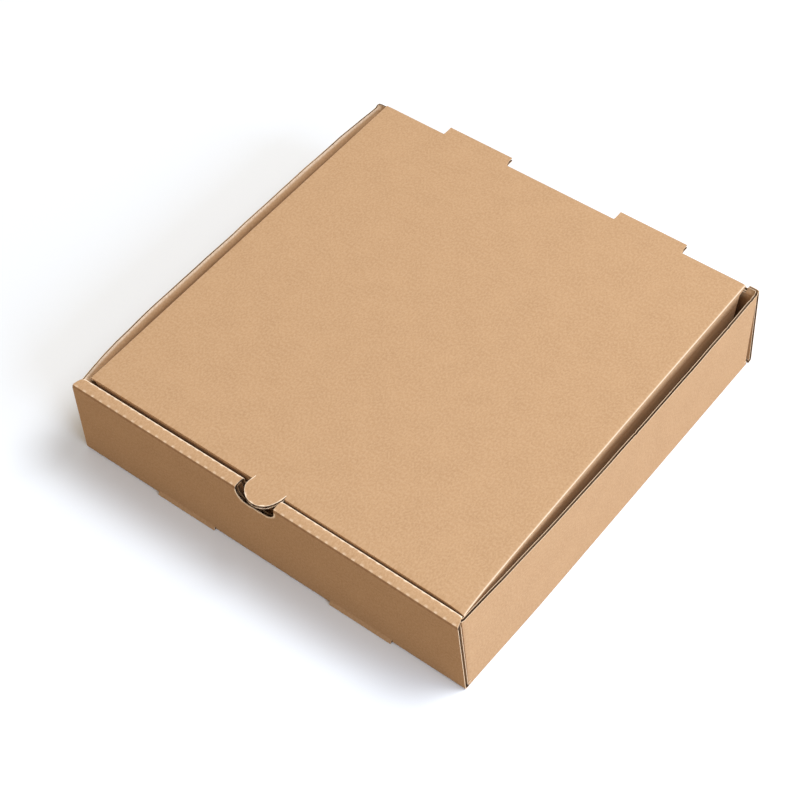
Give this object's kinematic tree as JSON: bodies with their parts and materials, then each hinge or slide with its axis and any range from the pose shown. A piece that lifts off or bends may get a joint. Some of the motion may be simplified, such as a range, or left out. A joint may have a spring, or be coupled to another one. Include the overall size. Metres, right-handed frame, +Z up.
{
  "type": "pizza box",
  "caption": "Shallow square box of brown corrugated board, with a hinged lid, thumb tab, back tabs and a rolled-over front wall.",
  "frame": {"origin": "centre of the base's underside, on the surface that the box stands on", "axes": "+Z up, +Y from the front wall with the thumb notch to the back wall with the hinge crease, +X to the right as seen from the front"},
  "size_m": [0.2958, 0.3074, 0.0641],
  "materials": {
    "kraft_board": "matte unprinted kraft paper over corrugated board"
  },
  "bodies": {
    "tray": {"tray": "kraft_board"},
    "lid": {"lid": "kraft_board"}
  },
  "joints": [
    {"name": "lid_hinge", "type": "hinge", "parent": "tray", "child": "lid", "pos_m": [0, 0.14685, 0.0627], "axis": [-1, 0, 0], "range_deg": [0, 180]}
  ]
}
